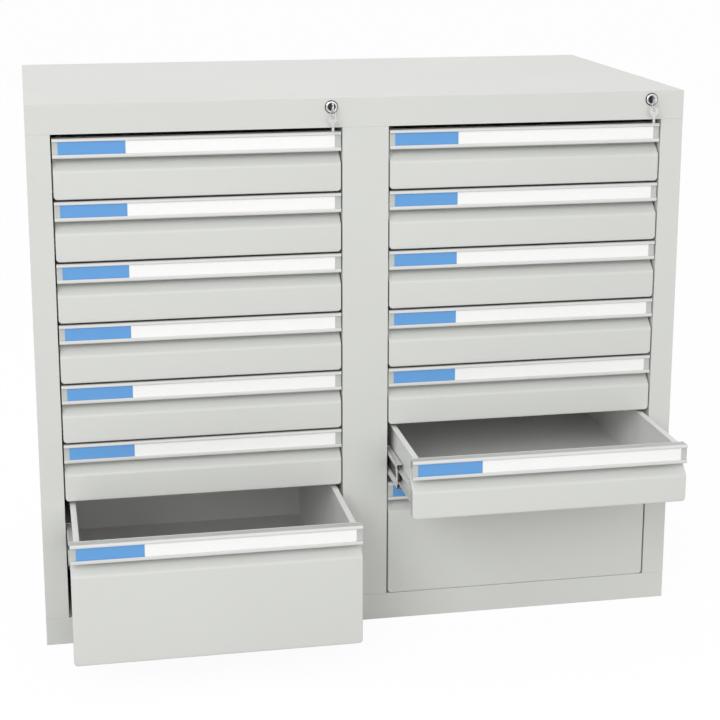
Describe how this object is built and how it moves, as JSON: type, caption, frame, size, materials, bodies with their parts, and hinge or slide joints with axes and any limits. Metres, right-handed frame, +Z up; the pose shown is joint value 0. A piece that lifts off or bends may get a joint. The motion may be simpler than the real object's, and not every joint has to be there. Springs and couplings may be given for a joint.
{
  "type": "drawer cabinet",
  "caption": "Wide steel drawer cabinet with two columns of lockable drawers on telescopic slides, full-width label handles and two cam locks in the top cover.",
  "frame": {"origin": "centre of the cabinet's footprint on the floor", "axes": "+Z up, +X to the right seen from the front, +Y from the drawer fronts to the back"},
  "size_m": [1.076, 0.788, 0.9],
  "materials": {
    "powder_coat": "light grey powder coat, fine satin texture",
    "handle_aluminium": "satin anodised, brushed along its length, with blue and white label cards in its channel",
    "zinc": "bright zinc plate, rolled",
    "chrome": "polished chrome plate",
    "key_steel": "nickel-plated steel, fine brushed"
  },
  "bodies": {
    "cabinet": {"base": "powder_coat", "top_cover": "powder_coat", "left_side": "powder_coat", "right_side": "powder_coat", "centre_post": "powder_coat", "back_panel": "powder_coat", "fixed_rails": "zinc", "lock_bodies": "chrome"},
    "lock_left": {"lock_plug_left": "chrome", "key_left": "key_steel"},
    "ring_left": {"key_ring_left": "key_steel"},
    "spare_left": {"spare_key_left": "key_steel"},
    "bar_left": {"lock_bar_left": "zinc"},
    "lock_right": {"lock_plug_right": "chrome", "key_right": "key_steel"},
    "ring_right": {"key_ring_right": "key_steel"},
    "spare_right": {"spare_key_right": "key_steel"},
    "bar_right": {"lock_bar_right": "zinc"},
    "drawer_L1": {"drawer_box_L1": "powder_coat", "handle_L1": "handle_aluminium"},
    "rails_L1": {"middle_rails_L1": "zinc"},
    "drawer_L2": {"drawer_box_L2": "powder_coat", "handle_L2": "handle_aluminium"},
    "rails_L2": {"middle_rails_L2": "zinc"},
    "drawer_L3": {"drawer_box_L3": "powder_coat", "handle_L3": "handle_aluminium"},
    "rails_L3": {"middle_rails_L3": "zinc"},
    "drawer_L4": {"drawer_box_L4": "powder_coat", "handle_L4": "handle_aluminium"},
    "rails_L4": {"middle_rails_L4": "zinc"},
    "drawer_L5": {"drawer_box_L5": "powder_coat", "handle_L5": "handle_aluminium"},
    "rails_L5": {"middle_rails_L5": "zinc"},
    "drawer_L6": {"drawer_box_L6": "powder_coat", "handle_L6": "handle_aluminium"},
    "rails_L6": {"middle_rails_L6": "zinc"},
    "drawer_L7": {"drawer_box_L7": "powder_coat", "handle_L7": "handle_aluminium"},
    "rails_L7": {"middle_rails_L7": "zinc"},
    "drawer_R1": {"drawer_box_R1": "powder_coat", "handle_R1": "handle_aluminium"},
    "rails_R1": {"middle_rails_R1": "zinc"},
    "drawer_R2": {"drawer_box_R2": "powder_coat", "handle_R2": "handle_aluminium"},
    "rails_R2": {"middle_rails_R2": "zinc"},
    "drawer_R3": {"drawer_box_R3": "powder_coat", "handle_R3": "handle_aluminium"},
    "rails_R3": {"middle_rails_R3": "zinc"},
    "drawer_R4": {"drawer_box_R4": "powder_coat", "handle_R4": "handle_aluminium"},
    "rails_R4": {"middle_rails_R4": "zinc"},
    "drawer_R5": {"drawer_box_R5": "powder_coat", "handle_R5": "handle_aluminium"},
    "rails_R5": {"middle_rails_R5": "zinc"},
    "drawer_R6": {"drawer_box_R6": "powder_coat", "handle_R6": "handle_aluminium"},
    "rails_R6": {"middle_rails_R6": "zinc"},
    "drawer_R7": {"drawer_box_R7": "powder_coat", "handle_R7": "handle_aluminium"},
    "rails_R7": {"middle_rails_R7": "zinc"}
  },
  "joints": [
    {"name": "lock_turn_left", "type": "hinge", "parent": "cabinet", "child": "lock_left", "pos_m": [-0.056, -0.3, 0.886], "axis": [0, 1, 0], "range_deg": [-1, 92]},
    {"name": "bar_drop_left", "type": "slide", "parent": "cabinet", "child": "bar_left", "axis": [0, 0, 1], "range_m": [-0.01273, 0]},
    {"name": "ring_swing_left", "type": "hinge", "parent": "lock_left", "child": "ring_left", "pos_m": [-0.056, -0.3135, 0.8839], "axis": [0.8387, 0.5446, 0], "range_deg": [-45, 12]},
    {"name": "spare_swing_left", "type": "hinge", "parent": "ring_left", "child": "spare_left", "pos_m": [-0.056, -0.3135, 0.8723], "axis": [0.8387, 0.5446, 0], "range_deg": [-45, 12]},
    {"name": "lock_turn_right", "type": "hinge", "parent": "cabinet", "child": "lock_right", "pos_m": [0.482, -0.3, 0.886], "axis": [0, 1, 0], "range_deg": [-1, 92]},
    {"name": "bar_drop_right", "type": "slide", "parent": "cabinet", "child": "bar_right", "axis": [0, 0, 1], "range_m": [-0.01273, 0]},
    {"name": "ring_swing_right", "type": "hinge", "parent": "lock_right", "child": "ring_right", "pos_m": [0.482, -0.3135, 0.8839], "axis": [0.8387, 0.5446, 0], "range_deg": [-45, 12]},
    {"name": "spare_swing_right", "type": "hinge", "parent": "ring_right", "child": "spare_right", "pos_m": [0.482, -0.3135, 0.8723], "axis": [0.8387, 0.5446, 0], "range_deg": [-45, 12]},
    {"name": "slide_L1", "type": "slide", "parent": "cabinet", "child": "drawer_L1", "axis": [0, -1, 0], "range_m": [0, 0.5]},
    {"name": "rails_L1", "type": "slide", "parent": "cabinet", "child": "rails_L1", "axis": [0, -1, 0], "range_m": [0, 0.25]},
    {"name": "slide_L2", "type": "slide", "parent": "cabinet", "child": "drawer_L2", "axis": [0, -1, 0], "range_m": [0, 0.5]},
    {"name": "rails_L2", "type": "slide", "parent": "cabinet", "child": "rails_L2", "axis": [0, -1, 0], "range_m": [0, 0.25]},
    {"name": "slide_L3", "type": "slide", "parent": "cabinet", "child": "drawer_L3", "axis": [0, -1, 0], "range_m": [0, 0.5]},
    {"name": "rails_L3", "type": "slide", "parent": "cabinet", "child": "rails_L3", "axis": [0, -1, 0], "range_m": [0, 0.25]},
    {"name": "slide_L4", "type": "slide", "parent": "cabinet", "child": "drawer_L4", "axis": [0, -1, 0], "range_m": [0, 0.5]},
    {"name": "rails_L4", "type": "slide", "parent": "cabinet", "child": "rails_L4", "axis": [0, -1, 0], "range_m": [0, 0.25]},
    {"name": "slide_L5", "type": "slide", "parent": "cabinet", "child": "drawer_L5", "axis": [0, -1, 0], "range_m": [0, 0.5]},
    {"name": "rails_L5", "type": "slide", "parent": "cabinet", "child": "rails_L5", "axis": [0, -1, 0], "range_m": [0, 0.25]},
    {"name": "slide_L6", "type": "slide", "parent": "cabinet", "child": "drawer_L6", "axis": [0, -1, 0], "range_m": [0, 0.5]},
    {"name": "rails_L6", "type": "slide", "parent": "cabinet", "child": "rails_L6", "axis": [0, -1, 0], "range_m": [0, 0.25]},
    {"name": "slide_L7", "type": "slide", "parent": "cabinet", "child": "drawer_L7", "axis": [0, -1, 0], "range_m": [-0.188, 0.312]},
    {"name": "rails_L7", "type": "slide", "parent": "cabinet", "child": "rails_L7", "axis": [0, -1, 0], "range_m": [-0.094, 0.156]},
    {"name": "slide_R1", "type": "slide", "parent": "cabinet", "child": "drawer_R1", "axis": [0, -1, 0], "range_m": [0, 0.5]},
    {"name": "rails_R1", "type": "slide", "parent": "cabinet", "child": "rails_R1", "axis": [0, -1, 0], "range_m": [0, 0.25]},
    {"name": "slide_R2", "type": "slide", "parent": "cabinet", "child": "drawer_R2", "axis": [0, -1, 0], "range_m": [0, 0.5]},
    {"name": "rails_R2", "type": "slide", "parent": "cabinet", "child": "rails_R2", "axis": [0, -1, 0], "range_m": [0, 0.25]},
    {"name": "slide_R3", "type": "slide", "parent": "cabinet", "child": "drawer_R3", "axis": [0, -1, 0], "range_m": [0, 0.5]},
    {"name": "rails_R3", "type": "slide", "parent": "cabinet", "child": "rails_R3", "axis": [0, -1, 0], "range_m": [0, 0.25]},
    {"name": "slide_R4", "type": "slide", "parent": "cabinet", "child": "drawer_R4", "axis": [0, -1, 0], "range_m": [0, 0.5]},
    {"name": "rails_R4", "type": "slide", "parent": "cabinet", "child": "rails_R4", "axis": [0, -1, 0], "range_m": [0, 0.25]},
    {"name": "slide_R5", "type": "slide", "parent": "cabinet", "child": "drawer_R5", "axis": [0, -1, 0], "range_m": [0, 0.5]},
    {"name": "rails_R5", "type": "slide", "parent": "cabinet", "child": "rails_R5", "axis": [0, -1, 0], "range_m": [0, 0.25]},
    {"name": "slide_R6", "type": "slide", "parent": "cabinet", "child": "drawer_R6", "axis": [0, -1, 0], "range_m": [-0.186, 0.314]},
    {"name": "rails_R6", "type": "slide", "parent": "cabinet", "child": "rails_R6", "axis": [0, -1, 0], "range_m": [-0.093, 0.157]},
    {"name": "slide_R7", "type": "slide", "parent": "cabinet", "child": "drawer_R7", "axis": [0, -1, 0], "range_m": [0, 0.5]},
    {"name": "rails_R7", "type": "slide", "parent": "cabinet", "child": "rails_R7", "axis": [0, -1, 0], "range_m": [0, 0.25]}
  ],
  "couplings": [
    {"joint": "lock_turn_left", "follows": "bar_drop_left", "rad_per_m": -123.41},
    {"joint": "lock_turn_right", "follows": "bar_drop_right", "rad_per_m": -123.41},
    {"joint": "rails_L1", "follows": "slide_L1", "ratio": 0.5},
    {"joint": "rails_L2", "follows": "slide_L2", "ratio": 0.5},
    {"joint": "rails_L3", "follows": "slide_L3", "ratio": 0.5},
    {"joint": "rails_L4", "follows": "slide_L4", "ratio": 0.5},
    {"joint": "rails_L5", "follows": "slide_L5", "ratio": 0.5},
    {"joint": "rails_L6", "follows": "slide_L6", "ratio": 0.5},
    {"joint": "rails_L7", "follows": "slide_L7", "ratio": 0.5},
    {"joint": "rails_R1", "follows": "slide_R1", "ratio": 0.5},
    {"joint": "rails_R2", "follows": "slide_R2", "ratio": 0.5},
    {"joint": "rails_R3", "follows": "slide_R3", "ratio": 0.5},
    {"joint": "rails_R4", "follows": "slide_R4", "ratio": 0.5},
    {"joint": "rails_R5", "follows": "slide_R5", "ratio": 0.5},
    {"joint": "rails_R6", "follows": "slide_R6", "ratio": 0.5},
    {"joint": "rails_R7", "follows": "slide_R7", "ratio": 0.5}
  ]
}
